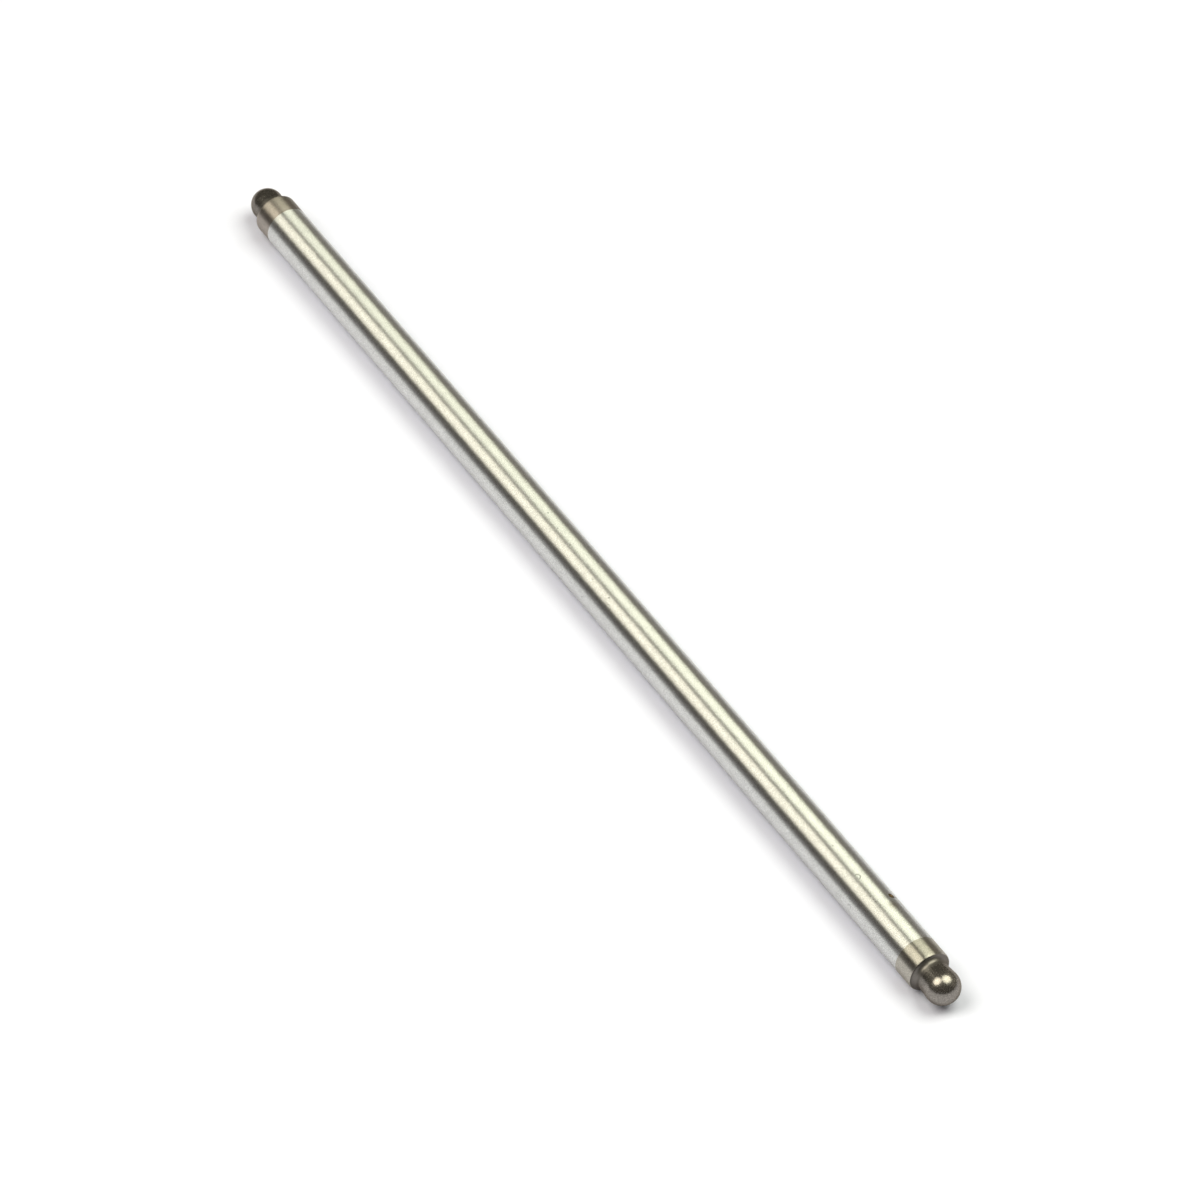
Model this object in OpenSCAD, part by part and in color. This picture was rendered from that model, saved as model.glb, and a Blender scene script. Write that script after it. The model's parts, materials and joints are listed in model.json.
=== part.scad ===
// Engine pushrod: a light-alloy tube with a hardened steel ball end pressed into each end.
// It lies along X, with the origin on its axis, half way between the two tips.

/* [Tube] */
// Outside diameter of the tube, which the two collars share
tube_d = 9; // [8.5:0.1:10]
// Length of the tube between the two collars
tube_len = 234.5; // [150:0.5:320]
// Bore of the tube, which the two shanks are pressed into
bore_d = 6; // [5:0.1:6.6]
// Lead chamfer at each mouth of the bore
mouth_chamfer = 0.3; // [0.1:0.05:0.5]

/* [Collars and shanks] */
// Length of each collar, from the tube's end face to the shoulder
collar_len = 4.75; // [3:0.05:8]
// Length of the rounded end of each collar
crown_len = 0.5; // [0.2:0.05:0.8]
// Radius of that rounded end
crown_r = 0.9; // [0.85:0.05:2]
// Radius of the hollow between each collar and its nose
hollow_r = 1.1; // [0.2:0.05:1.5]
// Length of each shank inside the tube
shank_len = 14; // [8:0.5:25]
// Lead chamfer at the inner end of each shank
shank_chamfer = 0.5; // [0.2:0.1:1]
// Radial clearance of each shank in the bore, which is none in a press fit
shank_clearance = 0; // [0:0.005:0.02]

/* [Rocker end] */
// Diameter of the nose and ball that meet the rocker arm
rocker_nose_d = 7.2; // [6:0.1:7.6]
// Length of that nose, from the collar's shoulder to the tip
rocker_nose_len = 7.9; // [6:0.05:12]

/* [Tappet end] */
// Diameter of the nose and ball that meet the tappet
tappet_nose_d = 6.8; // [6:0.1:7.6]
// Length of that nose, from the collar's shoulder to the tip
tappet_nose_len = 6.45; // [6:0.05:12]

/* [Hidden] */
$fn = 96;

tube_r = tube_d / 2;
bore_r = bore_d / 2;
shank_r = bore_r - shank_clearance;
// The rounded end is never longer than its radius
crown = min(crown_len, crown_r);
shoulder_r = tube_r - crown_r + sqrt(crown_r * crown_r - crown * crown);
rocker_reach = collar_len + rocker_nose_len;
tappet_reach = collar_len + tappet_nose_len;
overall_len = tappet_reach + tube_len + rocker_reach;
tappet_seam_x = tappet_reach - overall_len / 2;
rocker_seam_x = tappet_seam_x + tube_len;

alloy = [0.86, 0.86, 0.83];
steel = [0.50, 0.48, 0.44];

// Half section of the tube: radius along x, length along y from the tappet seam
module tube_profile() {
    polygon([
        [bore_r + mouth_chamfer, 0],
        [tube_r, 0],
        [tube_r, tube_len],
        [bore_r + mouth_chamfer, tube_len],
        [bore_r, tube_len - mouth_chamfer],
        [bore_r, mouth_chamfer],
    ]);
}

// Shank with its lead chamfer, below the seam
module shank_profile() {
    polygon([
        [0, -shank_len],
        [shank_r - shank_chamfer, -shank_len],
        [shank_r, shank_chamfer - shank_len],
        [shank_r, 0],
        [0, 0],
    ]);
}

// Collar flush with the tube, rounded off towards its shoulder
module collar_profile() {
    square([tube_r, collar_len - crown]);
    square([tube_r - crown_r, collar_len]);
    translate([tube_r - crown_r, collar_len - crown])
        intersection() {
            circle(crown_r);
            square([crown_r, crown]);
        }
}

// Nose that grows out of the shoulder through a hollow and ends in half a ball
module nose_profile(nose_d, nose_len) {
    nose_r = nose_d / 2;
    step = shoulder_r - nose_r;
    // A hollow wider than the step springs from the shoulder's outer corner
    hollow_w = min(hollow_r, step);
    hollow_len = sqrt(hollow_w * (2 * hollow_r - hollow_w));
    square([nose_r, nose_len - nose_r]);
    translate([nose_r, 0])
        difference() {
            square([hollow_w, hollow_len]);
            translate([hollow_r, hollow_len])
                circle(hollow_r);
        }
    translate([0, nose_len - nose_r])
        intersection() {
            circle(nose_r);
            square(nose_r);
        }
}

// Ball end turned about z, with its seam at z = 0 and its tip upwards
module ball_end(nose_d, nose_len) {
    rotate_extrude() {
        shank_profile();
        collar_profile();
        translate([0, collar_len])
            nose_profile(nose_d, nose_len);
    }
}

module tube() {
    color(alloy)
        translate([tappet_seam_x, 0, 0])
            rotate([0, 90, 0])
                rotate_extrude()
                    tube_profile();
}

module rocker_end() {
    color(steel)
        translate([rocker_seam_x, 0, 0])
            rotate([0, 90, 0])
                ball_end(rocker_nose_d, rocker_nose_len);
}

module tappet_end() {
    color(steel)
        translate([tappet_seam_x, 0, 0])
            rotate([0, -90, 0])
                ball_end(tappet_nose_d, tappet_nose_len);
}

tube();
rocker_end();
tappet_end();
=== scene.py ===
"""Dresses an engine pushrod: a ground alloy tube with a steel ball end pressed into each end."""
import json
import math

import bpy
from mathutils import Matrix, Vector


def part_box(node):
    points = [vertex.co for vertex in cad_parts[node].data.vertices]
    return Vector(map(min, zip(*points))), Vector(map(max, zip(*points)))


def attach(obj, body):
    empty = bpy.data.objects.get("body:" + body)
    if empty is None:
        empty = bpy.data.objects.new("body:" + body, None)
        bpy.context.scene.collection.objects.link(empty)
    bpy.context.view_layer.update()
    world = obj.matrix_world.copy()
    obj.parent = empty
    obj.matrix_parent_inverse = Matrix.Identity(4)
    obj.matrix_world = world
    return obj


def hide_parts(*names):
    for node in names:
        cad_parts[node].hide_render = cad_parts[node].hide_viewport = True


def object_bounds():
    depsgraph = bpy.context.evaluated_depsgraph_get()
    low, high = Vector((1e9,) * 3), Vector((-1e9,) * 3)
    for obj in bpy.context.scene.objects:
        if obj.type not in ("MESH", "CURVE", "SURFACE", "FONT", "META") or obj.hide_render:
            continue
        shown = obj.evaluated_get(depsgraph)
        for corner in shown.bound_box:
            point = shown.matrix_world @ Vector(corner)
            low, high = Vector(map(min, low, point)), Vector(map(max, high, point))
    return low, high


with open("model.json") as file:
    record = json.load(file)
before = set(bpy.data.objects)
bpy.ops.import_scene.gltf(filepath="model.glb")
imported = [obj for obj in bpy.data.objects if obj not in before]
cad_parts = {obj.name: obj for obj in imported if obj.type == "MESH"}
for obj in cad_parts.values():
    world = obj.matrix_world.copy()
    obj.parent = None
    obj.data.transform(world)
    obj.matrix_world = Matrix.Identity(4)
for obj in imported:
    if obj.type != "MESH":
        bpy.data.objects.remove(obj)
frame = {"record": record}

bl_info = {
    "name": "Engine Pushrod",
    "version": (1, 0, 0),
    "blender": (4, 5, 0),
    "location": "View3D > Sidebar > Pushrod",
    "description": "Turns and finishes the tube and ball ends of an engine pushrod",
    "category": "Object",
}

MM = 0.001
BODY = "root"
CAD_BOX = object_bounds()
FLOOR_HALF = 4.0
COLLAR_SLOT, NOSE_SLOT = 0, 1
MOUNTS = {mount["name"]: mount for mount in frame["record"]["mounts"]}

# Places and sizes that the frame gives, in metres
TUBE_LOW, TUBE_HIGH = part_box("tube")
TUBE_RADIUS = (TUBE_HIGH.z - TUBE_LOW.z) / 2
TUBE_LENGTH = TUBE_HIGH.x - TUBE_LOW.x
FLOOR_HEIGHT = CAD_BOX[0].z


class RodSizes(bpy.types.PropertyGroup):
    """Sizes that the frame leaves to the finish."""

    bore_radius: bpy.props.FloatProperty(
        name="Bore radius", description="Inside radius of the tube, where the shanks sit",
        default=3 * MM, min=MM, unit="LENGTH", precision=5)
    mouth_chamfer: bpy.props.FloatProperty(
        name="Mouth chamfer", description="Lead chamfer at each mouth of the bore",
        default=0.3 * MM, min=0, unit="LENGTH", precision=5)
    shank_chamfer: bpy.props.FloatProperty(
        name="Shank chamfer", description="Lead chamfer at the inner end of each shank",
        default=0.5 * MM, min=0, unit="LENGTH", precision=5)
    collar_length: bpy.props.FloatProperty(
        name="Collar length", description="From the seam to the shoulder of each ball end",
        default=4.75 * MM, min=MM, unit="LENGTH", precision=5)
    crown_length: bpy.props.FloatProperty(
        name="Crown length", description="Length of the rounded end of each collar",
        default=0.5 * MM, min=0, unit="LENGTH", precision=5)
    crown_radius: bpy.props.FloatProperty(
        name="Crown radius", description="Radius of the rounded end of each collar",
        default=0.9 * MM, min=0, unit="LENGTH", precision=5)
    neck_taper: bpy.props.FloatProperty(
        name="Neck taper", description="Slope by which each nose thins from its ball to the hollow",
        default=math.radians(5), min=0, subtype="ANGLE")
    seam_edge: bpy.props.FloatProperty(
        name="Seam edge", description="Round on the two corners that meet at each seam",
        default=0.04 * MM, min=0, unit="LENGTH", precision=5)
    segments: bpy.props.IntProperty(
        name="Segments", description="Flats round the rod", default=192, min=24)


class RodColours(bpy.types.PropertyGroup):
    """Colours of the metals."""

    alloy: bpy.props.FloatVectorProperty(
        name="Alloy", description="Ground light alloy of the tube", subtype="COLOR",
        size=4, default=(0.725, 0.725, 0.705, 1.0))
    rocker_collar: bpy.props.FloatVectorProperty(
        name="Rocker collar", description="Ground steel of the collar at the rocker end", subtype="COLOR",
        size=4, default=(0.46, 0.434, 0.382, 1.0))
    # The tappet collar is painted darker than the rocker collar, as shade of the dimmer far end, and a
    # little browner
    tappet_collar: bpy.props.FloatVectorProperty(
        name="Tappet collar", description="Browner steel of the collar at the tappet end", subtype="COLOR",
        size=4, default=(0.38, 0.342, 0.305, 1.0))
    ball_steel: bpy.props.FloatVectorProperty(
        name="Ball steel", description="Hardened satin steel of the noses", subtype="COLOR",
        size=4, default=(0.245, 0.226, 0.206, 1.0))
    rust: bpy.props.FloatVectorProperty(
        name="Rust", description="Brown rim of the one rust spot", subtype="COLOR",
        size=4, default=(0.055, 0.035, 0.018, 1.0))
    rust_heart: bpy.props.FloatVectorProperty(
        name="Rust heart", description="Golden middle of the rust spot", subtype="COLOR",
        size=4, default=(0.28, 0.19, 0.08, 1.0))


class StageSettings(bpy.types.PropertyGroup):
    """Camera, lamps and floor."""

    azimuth: bpy.props.FloatProperty(
        name="Azimuth", description="Camera's turn about the vertical, from the rod's side",
        default=math.radians(58.52), subtype="ANGLE")
    elevation: bpy.props.FloatProperty(
        name="Elevation", description="Camera's height above the horizon",
        default=math.radians(45.3), subtype="ANGLE")
    distance: bpy.props.FloatProperty(
        name="Distance", description="From the camera to the point it looks at",
        default=1.605, unit="LENGTH")
    lens: bpy.props.FloatProperty(
        name="Lens", description="Focal length in millimetres on a 36 mm sensor", default=247.9)
    aim: bpy.props.FloatVectorProperty(
        name="Aim", description="Point that the camera looks at",
        default=(6.295 * MM, -1.44 * MM, 0.0), subtype="TRANSLATION")
    floor_white: bpy.props.FloatVectorProperty(
        name="Floor", description="Colour of the floor", subtype="COLOR",
        size=4, default=(0.785, 0.795, 0.95, 1.0))
    floor_lift: bpy.props.FloatVectorProperty(
        name="Floor lift", description="Light added to the floor where it is seen or mirrored",
        subtype="COLOR", size=4, default=(0.02, 0.02, 0.02, 1.0))
    surround: bpy.props.FloatVectorProperty(
        name="Surround", description="Dim room beyond the lamps", subtype="COLOR",
        size=4, default=(0.064, 0.057, 0.048, 1.0))


# Oval soft boxes and a dim wall: direction and distance from the rod's middle, half of the angle that each
# fills along and across the rod, colour and radiance
LAMPS = {
    "left_softbox": {
        "direction": (-0.093, -0.484, 0.87), "distance": 1.08, "half_angles": (20.2, 22.5),
        "colour": (1.0, 0.965, 0.81), "radiance": 5.35},
    "right_softbox": {
        "direction": (0.2, 0.394, 0.897), "distance": 1.12, "half_angles": (22.6, 24.6),
        "colour": (0.985, 1.0, 0.82), "radiance": 4.8},
    "rear_wall": {
        "direction": (0.1, 0.88, 0.42), "distance": 1.5, "half_angles": (45.0, 22.0),
        "colour": (1.0, 0.93, 0.75), "radiance": 0.19},
}

# Noise of each finish: steps to the metre along x, y and z of a turned piece
TUBE_GRAIN = (7800, 7800, 7800)
COLLAR_GRAIN = (6200, 6200, 6200)
SATIN_GRAIN = (3400, 3400, 3400)
GRINDING_LINES = (260, 260, 5200)
GRINDING_WAVES = (420, 420, 260)
RAGGED_EDGE = (1500, 1500, 1500)

# Grinding spreads the shine along the rod, which is a quarter turn from the way round it
ALONG_ROD = 0.25
EDGE_TINT = (0.6, 0.58, 0.54, 1.0)

# Heights above the seam, in millimetres, between which the dark hollow and the painted shade on the neck
# fade into the ball
HOLLOW_FADE = (5.9, 6.7)
NECK_SHADE_FADE = (7.8, 8.7)

# Marks that use has left on the tube: millimetres from the rocker seam, degrees from straight up
# towards the front, radius in millimetres, and for a ding its strength
PITS = (
    (28.2, 5, 0.15), (132.2, -1, 0.20), (112.1, 79, 0.22), (106.4, 23, 0.20), (105.3, 36, 0.15),
    (127.6, 6, 0.16), (122.4, 11, 0.18), (112.3, 24, 0.14), (11.9, -44, 0.34), (13.8, 16, 0.17),
    (12.9, 16, 0.15), (12.1, 15, 0.15),
)
DINGS = ((19.1, 10, 0.62, 1.0), (16.2, 77, 0.45, 0.4), (19.8, 82, 0.40, 0.4))
RUST_SPOT = (12.2, -33, 0.75)
STAIN = (9.6, -18, 1.7)


class Signal:
    """A value in a material, on which Python's operators add Math nodes."""

    def __init__(self, finish, socket):
        self.finish = finish
        self.socket = socket

    def __add__(self, other):
        return self.finish.math("ADD", self, other)

    def __sub__(self, other):
        return self.finish.math("SUBTRACT", self, other)

    def __rsub__(self, other):
        return self.finish.math("SUBTRACT", other, self)

    def __mul__(self, other):
        return self.finish.math("MULTIPLY", self, other)

    __radd__ = __add__
    __rmul__ = __mul__


class Finish:
    """A material or world under construction, one call to a node."""

    def __init__(self, owner):
        owner.use_nodes = True
        self.owner = owner
        self.tree = owner.node_tree
        self.tree.nodes.clear()

    def node(self, kind, settings=None, inputs=None, output=0):
        """Adds a node of this kind, sets it, fills or links its inputs and gives one output."""
        made = self.tree.nodes.new(kind)
        for key, value in (settings or {}).items():
            setattr(made, key, value)
        for key, value in (inputs or {}).items():
            if isinstance(value, Signal):
                self.tree.links.new(value.socket, made.inputs[key])
            else:
                made.inputs[key].default_value = value
        return Signal(self, made.outputs[output]) if made.outputs else None

    def math(self, operation, *values):
        return self.node("ShaderNodeMath", {"operation": operation}, dict(enumerate(values)))

    def blend(self, factor, first, second):
        """Mixes two colours."""
        settings = {"data_type": "RGBA"}
        return self.node("ShaderNodeMix", settings, {0: factor, 6: first, 7: second}, 2)

    def place(self):
        """Where a point lies on its own piece, in metres."""
        return self.node("ShaderNodeTexCoord", output="Object")

    def vector(self, operation, first, second, output=0):
        return self.node("ShaderNodeVectorMath", {"operation": operation}, {0: first, 1: second}, output)

    def noise(self, place, steps, detail):
        """Soft noise about 0, with so many steps to the metre along x, y and z."""
        inputs = {"Vector": self.vector("MULTIPLY", place, steps), "Scale": 1.0, "Detail": detail}
        return self.node("ShaderNodeTexNoise", inputs=inputs) - 0.5

    def step(self, value, start, end):
        """Soft step from 0 at one value to 1 at another."""
        return self.node("ShaderNodeMapRange", {"interpolation_type": "SMOOTHSTEP"}, {
            "Value": value, "From Min": start, "From Max": end})

    def specks(self, place, steps, radius):
        """Small round spots in some cells of a scattered grid."""
        inputs = {"Vector": place, "Scale": steps}
        gap = self.node("ShaderNodeTexVoronoi", inputs=inputs, output="Distance")
        pick = self.node("ShaderNodeTexVoronoi", inputs=inputs, output="Color")
        chosen = self.step(self.node("ShaderNodeSeparateColor", inputs={0: pick}), 0.60, 0.62)
        return chosen * (1 - self.step(gap, 0.5 * radius * steps, 1.3 * radius * steps))

    def bump(self, height):
        """Bumps in the surface, with their height in metres."""
        return self.node("ShaderNodeBump", inputs={"Strength": 1.0, "Distance": 1.0, "Height": height})

    def surface(self, shader):
        self.node("ShaderNodeOutputMaterial", inputs={"Surface": shader})
        return self.owner


def new_finish(name):
    return Finish(bpy.data.materials.new(name))


def shade(colour, factor):
    """The same colour, darker or lighter."""
    return tuple(channel * factor for channel in colour[:3]) + (1.0,)


def on_tube(from_seam, turn):
    """A place on the tube, and the way round it, in the tube's own frame."""
    angle = math.radians(turn)
    up, front = TUBE_RADIUS * math.cos(angle), TUBE_RADIUS * math.sin(angle)
    spot = Vector((-up, -front, TUBE_LENGTH - from_seam * MM))
    return spot, Vector((math.sin(angle), -math.cos(angle), 0.0))


def gap_to(finish, place, from_seam, turn):
    """Distance from a place on the tube, in metres."""
    return finish.vector("DISTANCE", place, on_tube(from_seam, turn)[0], "Value")


def pit_marks(finish, place):
    """Small pits, where the photographed rod has them."""
    marks = 0.0
    for from_seam, turn, radius in PITS:
        gap = gap_to(finish, place, from_seam, turn)
        mark = 1 - finish.step(gap, 0.4 * radius * MM, 1.3 * radius * MM)
        marks = finish.math("MAXIMUM", marks, mark)
    return marks


def ding_marks(finish, place):
    """Half-round lines, left by blows."""
    marks = 0.0
    for from_seam, turn, radius, strength in DINGS:
        spot, way = on_tube(from_seam, turn)
        offset = finish.vector("SUBTRACT", place, spot)
        length = finish.node("ShaderNodeVectorMath", {"operation": "LENGTH"}, {0: offset}, "Value")
        line = 1 - finish.step(finish.math("ABSOLUTE", length - radius * MM), 0.04 * MM, 0.19 * MM)
        side = finish.vector("DOT_PRODUCT", offset, way, "Value")
        mark = strength * line * (1 - finish.step(side, -0.1 * MM, 0.3 * MM))
        marks = finish.math("MAXIMUM", marks, mark)
    return marks


def brown_marks(finish, place):
    """Ragged brown spot, its golden heart and the faint stain beside it."""
    from_seam, turn, radius = RUST_SPOT
    gap = gap_to(finish, place, from_seam, turn) + 0.5 * MM * finish.noise(place, RAGGED_EDGE, 1.0)
    rust = 1 - finish.step(gap, 0.75 * radius * MM, radius * MM)
    heart = 1 - finish.step(gap, 0.05 * radius * MM, 0.4 * radius * MM)
    from_seam, turn, radius = STAIN
    stain = 1 - finish.step(gap_to(finish, place, from_seam, turn), 0.1 * radius * MM, radius * MM)
    return rust, heart, stain


def ground_alloy(colours):
    """Light alloy, ground round and round, so that its shine spreads along the rod."""
    finish = new_finish("ground_alloy")
    place = finish.place()
    grain = finish.noise(place, TUBE_GRAIN, 1.0)
    lines = finish.noise(place, GRINDING_LINES, 2.0)
    waves = finish.noise(place, GRINDING_WAVES, 1.0)
    specks = 0.8 * finish.specks(place, 240.0, 0.12 * MM)
    pits = finish.math("MAXIMUM", pit_marks(finish, place), specks)
    dings = ding_marks(finish, place)
    rust, heart, stain = brown_marks(finish, place)
    tone = 0.5 + 5.0 * grain + 0.5 * lines + 0.4 * waves
    colour = finish.blend(tone, shade(colours.alloy, 0.75), shade(colours.alloy, 1.25))
    colour = finish.blend(0.65 * pits, colour, shade(colours.alloy, 0.15))
    colour = finish.blend(0.7 * dings, colour, shade(colours.alloy, 0.3))
    colour = finish.blend(0.3 * stain, colour, tuple(colours.rust_heart))
    brown = finish.blend(heart, tuple(colours.rust), tuple(colours.rust_heart))
    colour = finish.blend(rust, colour, brown)
    height = 2e-5 * waves + 5e-6 * grain + 2e-6 * lines - 2e-5 * pits - 1.5e-5 * dings
    shader = finish.node("ShaderNodeBsdfPrincipled", inputs={
        "Base Color": colour,
        "Metallic": 1 - 0.8 * rust,
        "Roughness": 0.465 + 0.06 * lines + 0.06 * grain + 0.2 * rust,
        "Anisotropic": 1.0,
        "Anisotropic Rotation": ALONG_ROD,
        "Specular Tint": EDGE_TINT,
        "Normal": finish.bump(height),
    })
    return finish.surface(shader)


def ground_steel(name, colour, roughness, streak):
    """Steel of a collar, ground together with the tube."""
    finish = new_finish(name)
    place = finish.place()
    grain = finish.noise(place, COLLAR_GRAIN, 1.0)
    lines = finish.noise(place, GRINDING_LINES, 2.0)
    tone = 0.5 + 2.5 * grain + 0.5 * lines
    shader = finish.node("ShaderNodeBsdfPrincipled", inputs={
        "Base Color": finish.blend(tone, shade(colour, 0.75), shade(colour, 1.25)),
        "Metallic": 1.0,
        "Roughness": roughness + 0.05 * lines,
        "Anisotropic": streak,
        "Anisotropic Rotation": ALONG_ROD,
        "Specular Tint": EDGE_TINT,
        "Normal": finish.bump(4e-6 * grain + 2e-6 * lines),
    })
    return finish.surface(shader)


def satin_steel(colours):
    """Hardened steel of the noses, with the hollows left dark and rough from the furnace and the neck
    painted darker as shade.
    """
    finish = new_finish("satin_steel")
    place = finish.place()
    height = finish.node("ShaderNodeSeparateXYZ", inputs={0: place}, output="Z")
    hollow = 1 - finish.step(height, HOLLOW_FADE[0] * MM, HOLLOW_FADE[1] * MM)
    neck_shade = 1 - finish.step(height, NECK_SHADE_FADE[0] * MM, NECK_SHADE_FADE[1] * MM)
    grain = finish.noise(place, SATIN_GRAIN, 1.5)
    # The neck is painted darker, as shade that dims the soft boxes' streak along it; the hollow is darker
    # from its furnace scale
    tone = 0.5 + 1.8 * grain - 0.35 * neck_shade - 0.3 * hollow
    shader = finish.node("ShaderNodeBsdfPrincipled", inputs={
        "Base Color": finish.blend(tone, shade(colours.ball_steel, 0.7), shade(colours.ball_steel, 1.3)),
        "Metallic": 0.9,
        "Roughness": 0.255 + 0.155 * hollow + 0.12 * grain,
        "Specular Tint": (0.5, 0.46, 0.42, 1.0),
        "Normal": finish.bump(8e-6 * grain),
    })
    return finish.surface(shader)


def arc(centre, radius, start, end, steps):
    """Points of a round stretch as (radius, height), with its angles in degrees."""
    points = []
    for i in range(steps + 1):
        angle = math.radians(start + (end - start) * i / steps)
        points.append((centre[0] + radius * math.cos(angle), centre[1] + radius * math.sin(angle)))
    return points


def turned_mesh(name, profile, segments, closed, finish_of):
    """Spins a profile of (radius, height) points about z; finish_of gives each face band's slot."""
    vertices, rings = [], []
    for radius, height in profile:
        if radius < 1e-9:
            rings.append([len(vertices)] * segments)
            vertices.append((0.0, 0.0, height))
            continue
        rings.append(list(range(len(vertices), len(vertices) + segments)))
        for i in range(segments):
            turn = 2 * math.pi * i / segments
            vertices.append((radius * math.cos(turn), radius * math.sin(turn), height))
    faces, slots = [], []
    last = len(profile) if closed else len(profile) - 1
    for band in range(last):
        low, high = rings[band], rings[(band + 1) % len(profile)]
        slot = finish_of(profile[band], profile[(band + 1) % len(profile)])
        for i in range(segments):
            j = (i + 1) % segments
            corners = [low[i], low[j], high[j], high[i]]
            faces.append(list(dict.fromkeys(corners)))
            slots.append(slot)
    mesh = bpy.data.meshes.new(name)
    mesh.from_pydata(vertices, [], faces)
    mesh.polygons.foreach_set("material_index", slots)
    mesh.polygons.foreach_set("use_smooth", [True] * len(faces))
    mesh.update()
    mesh.set_sharp_from_angle(angle=math.radians(30))
    return mesh


def seat(mesh, finishes, seam_x, outward, node):
    """Lays a turned mesh along x, with its z = 0 at a seam, in place of a frame node."""
    piece = bpy.data.objects.new(mesh.name, mesh)
    bpy.context.scene.collection.objects.link(piece)
    for finish in finishes:
        mesh.materials.append(finish)
    piece.matrix_world = Matrix.Translation((seam_x, 0, 0)) @ Matrix.Rotation(
        math.copysign(math.pi / 2, outward), 4, "Y")
    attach(piece, BODY)
    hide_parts(node)
    return piece


def end_profile(sizes, node, nose_mount):
    """Half section of a ball end from its shank to its tip, with its seam at height 0."""
    low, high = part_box(node)
    outward = MOUNTS[nose_mount]["axis"][0]
    seam_x = TUBE_HIGH.x if outward > 0 else TUBE_LOW.x
    tip = (high.x - seam_x) if outward > 0 else (seam_x - low.x)
    shank = (seam_x - low.x) if outward > 0 else (high.x - seam_x)
    nose_radius = MOUNTS[nose_mount]["dims"]["r_mm"] * MM
    straight = MOUNTS[nose_mount]["dims"]["length_mm"] * MM
    ball_height = tip - nose_radius
    bore, chamfer, collar = sizes.bore_radius, sizes.shank_chamfer, sizes.collar_length
    seam, crown = sizes.seam_edge, sizes.crown_radius
    sweep = math.asin(sizes.crown_length / crown)
    hollow_length = ball_height - straight - collar
    taper = sizes.neck_taper
    neck_radius = nose_radius / math.cos(taper) - straight * math.tan(taper)
    step = TUBE_RADIUS - crown * (1 - math.cos(sweep)) - neck_radius
    hollow = (hollow_length ** 2 + step ** 2) / (2 * step)
    start = math.degrees(math.asin(hollow_length / hollow))
    profile = [(0, -shank), (bore - chamfer, -shank), (bore, chamfer - shank), (bore, 0)]
    profile += arc((TUBE_RADIUS - seam, seam), seam, -90, 0, 4)
    profile += arc((TUBE_RADIUS - crown, collar - sizes.crown_length), crown, 0, math.degrees(sweep), 8)
    profile += arc((neck_radius + hollow, collar + hollow_length), hollow, 180 + start, 180, 20)[1:]
    profile += arc((0, ball_height), nose_radius, -math.degrees(taper), 90, 34)
    profile[-1] = (0, tip)
    return profile, seam_x, outward


class PUSHROD_OT_tube(bpy.types.Operator):
    """Turns the tube and gives it its ground alloy finish"""

    bl_idname = "pushrod.tube"
    bl_label = "Tube"

    def execute(self, context):
        sizes = context.scene.pushrod_sizes
        seam, bore, chamfer = sizes.seam_edge, sizes.bore_radius, sizes.mouth_chamfer
        profile = [(bore, TUBE_LENGTH - chamfer), (bore, chamfer), (bore + chamfer, 0)]
        profile += arc((TUBE_RADIUS - seam, seam), seam, -90, 0, 4)
        profile += arc((TUBE_RADIUS - seam, TUBE_LENGTH - seam), seam, 0, 90, 4)
        profile += [(bore + chamfer, TUBE_LENGTH)]
        mesh = turned_mesh("alloy_tube", profile, sizes.segments, True, lambda low, high: 0)
        finishes = [ground_alloy(context.scene.pushrod_colours)]
        seat(mesh, finishes, TUBE_LOW.x, 1, "tube")
        return {"FINISHED"}


class PUSHROD_OT_ball_ends(bpy.types.Operator):
    """Turns both steel ball ends, with ground collars and satin noses"""

    bl_idname = "pushrod.ball_ends"
    bl_label = "Ball ends"

    def execute(self, context):
        sizes = context.scene.pushrod_sizes
        colours = context.scene.pushrod_colours
        noses = satin_steel(colours)
        shoulder = sizes.collar_length

        def finish_of(low, high):
            return NOSE_SLOT if min(low[1], high[1]) >= shoulder else COLLAR_SLOT

        for node, mount, collar, roughness, streak in (
                ("rocker_end", "rocker_nose", colours.rocker_collar, 0.4, 1.0),
                # The tappet collar's darker colour is painted shade of the dimmer far end
                ("tappet_end", "tappet_nose", colours.tappet_collar, 0.46, 0.9)):
            ground = ground_steel(mount.replace("nose", "collar"), collar, roughness, streak)
            profile, seam_x, outward = end_profile(sizes, node, mount)
            name = node.replace("_end", "_ball_end")
            mesh = turned_mesh(name, profile, sizes.segments, False, finish_of)
            seat(mesh, [ground, noses], seam_x, outward, node)
        return {"FINISHED"}


def make_camera(settings):
    """Camera at the picture's angle."""
    turn, rise = settings.azimuth, settings.elevation
    back = Vector((math.sin(turn) * math.cos(rise), -math.cos(turn) * math.cos(rise), math.sin(rise)))
    data = bpy.data.cameras.new("camera")
    data.lens = settings.lens
    data.sensor_width = 36.0
    data.clip_end = 100.0
    camera = bpy.data.objects.new("camera", data)
    bpy.context.scene.collection.objects.link(camera)
    camera.location = Vector(settings.aim) + back * settings.distance
    camera.rotation_mode = "QUATERNION"
    camera.rotation_quaternion = (-back).to_track_quat("-Z", "Y")
    bpy.context.scene.camera = camera


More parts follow.
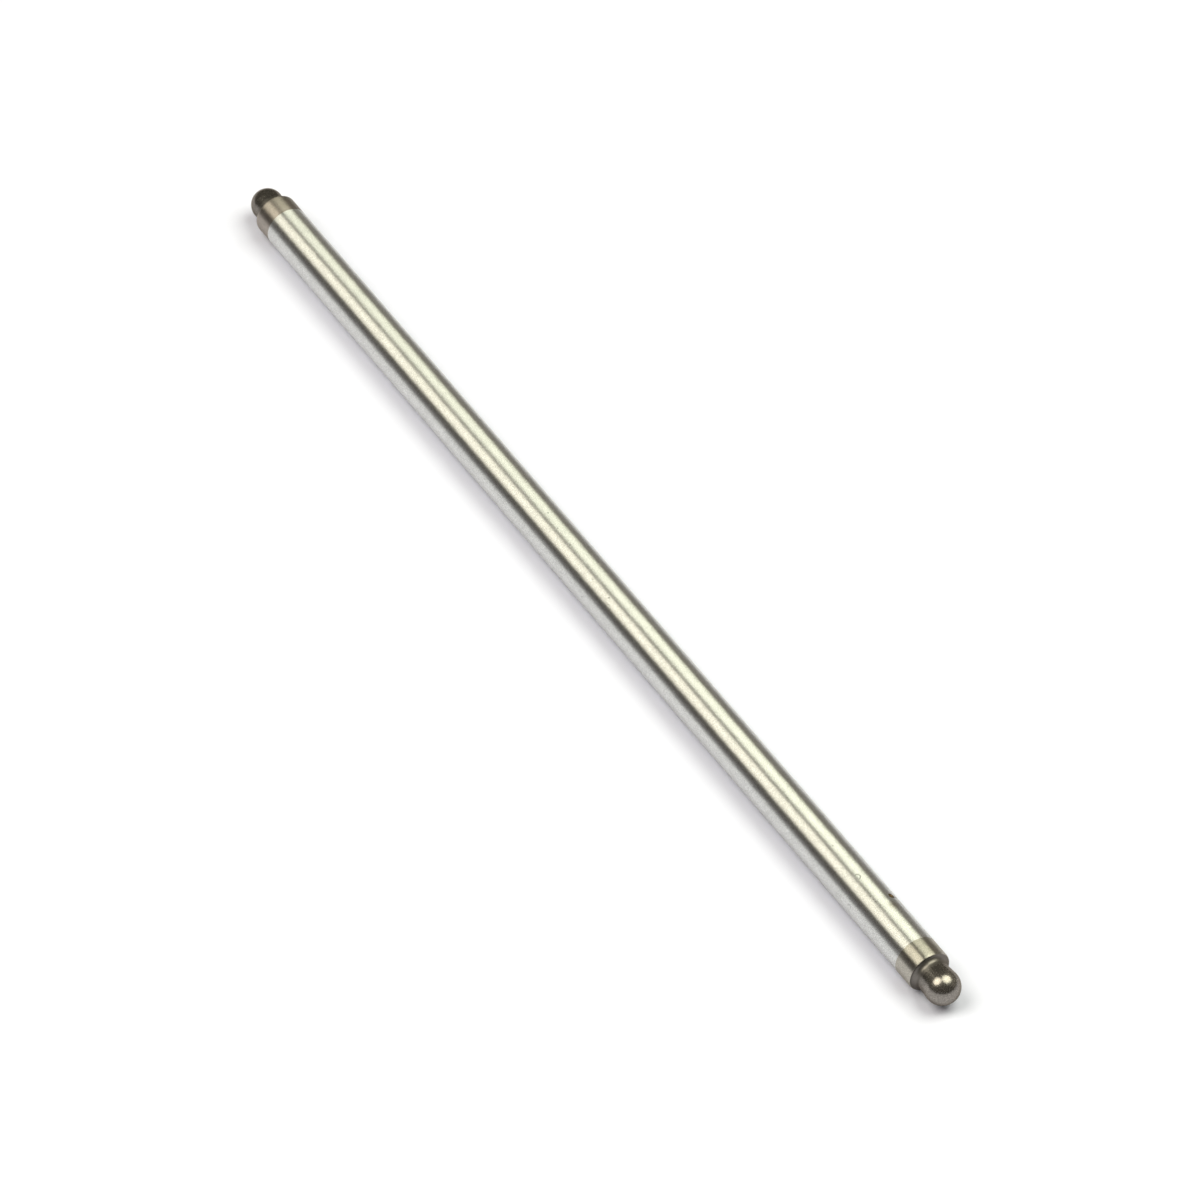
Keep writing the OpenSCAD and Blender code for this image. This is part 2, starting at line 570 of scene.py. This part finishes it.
def make_lamp(name, direction, distance, half_angles, colour, radiance):
    """Oval soft box that looks at the rod, with its own x along the rod."""
    along, across = (distance * math.tan(math.radians(angle)) for angle in half_angles)
    data = bpy.data.lights.new(name, "AREA")
    data.shape = "ELLIPSE"
    data.size = 2 * along
    data.size_y = 2 * across
    data.color = colour
    # An area lamp sends its power over half a sphere from its whole face
    data.energy = radiance * math.pi * math.pi * along * across
    lamp = bpy.data.objects.new(name, data)
    bpy.context.scene.collection.objects.link(lamp)
    toward = Vector(direction).normalized()
    side = toward.cross(Vector((1, 0, 0))).normalized()
    turn = Matrix((side.cross(toward), side, toward)).transposed()
    lamp.matrix_world = Matrix.Translation(toward * distance) @ turn.to_4x4()


def make_floor(settings):
    """Pale floor under the rod, lifted to white where it is seen or mirrored."""
    mesh = bpy.data.meshes.new("floor")
    corners = [(x * FLOOR_HALF, y * FLOOR_HALF, 0) for x, y in ((-1, -1), (1, -1), (1, 1), (-1, 1))]
    mesh.from_pydata(corners, [], [(0, 1, 2, 3)])
    floor = bpy.data.objects.new("floor", mesh)
    floor.location.z = FLOOR_HEIGHT
    bpy.context.scene.collection.objects.link(floor)
    finish = new_finish("pale_floor")
    rays = ("Is Camera Ray", "Is Glossy Ray", "Is Transmission Ray")
    seen = sum(finish.node("ShaderNodeLightPath", output=ray) for ray in rays)
    lift = finish.blend(seen, (0, 0, 0, 1), tuple(settings.floor_lift))
    shader = finish.node("ShaderNodeBsdfPrincipled", inputs={
        "Base Color": tuple(settings.floor_white),
        "Roughness": 1.0,
        "Specular IOR Level": 0.0,
        "Emission Color": lift,
        "Emission Strength": 1.0,
    })
    mesh.materials.append(finish.surface(shader))


class PUSHROD_OT_stage(bpy.types.Operator):
    """Sets the camera, two soft boxes, a dim wall, the room and the pale floor"""

    bl_idname = "pushrod.stage"
    bl_label = "Stage"

    def execute(self, context):
        settings = context.scene.pushrod_stage
        context.scene.view_settings.view_transform = "Standard"
        make_camera(settings)
        for name, lamp in LAMPS.items():
            make_lamp(name, **lamp)
        make_floor(settings)
        context.scene.world = bpy.data.worlds.new("room")
        room = Finish(context.scene.world)
        light = room.node("ShaderNodeBackground", inputs={"Color": tuple(settings.surround)})
        room.node("ShaderNodeOutputWorld", inputs={"Surface": light})
        return {"FINISHED"}


class VIEW3D_PT_pushrod(bpy.types.Panel):
    """Sizes, colours and steps of the pushrod"""

    bl_label = "Engine Pushrod"
    bl_space_type = "VIEW_3D"
    bl_region_type = "UI"
    bl_category = "Pushrod"

    def draw(self, context):
        for name, kind in GROUPS.items():
            box = self.layout.box()
            for key in kind.__annotations__:
                box.prop(getattr(context.scene, name), key)
        for operator in OPERATORS:
            self.layout.operator(operator.bl_idname)


GROUPS = {"pushrod_sizes": RodSizes, "pushrod_colours": RodColours, "pushrod_stage": StageSettings}
OPERATORS = (PUSHROD_OT_stage, PUSHROD_OT_tube, PUSHROD_OT_ball_ends)
CLASSES = (*GROUPS.values(), *OPERATORS, VIEW3D_PT_pushrod)


def register():
    for cls in CLASSES:
        bpy.utils.register_class(cls)
    for name, group in GROUPS.items():
        setattr(bpy.types.Scene, name, bpy.props.PointerProperty(type=group))


def unregister():
    for name in GROUPS:
        delattr(bpy.types.Scene, name)
    for cls in reversed(CLASSES):
        bpy.utils.unregister_class(cls)


def main():
    register()
    bpy.ops.pushrod.stage()
    bpy.ops.pushrod.tube()
    bpy.ops.pushrod.ball_ends()


if __name__ == "__main__":
    main()
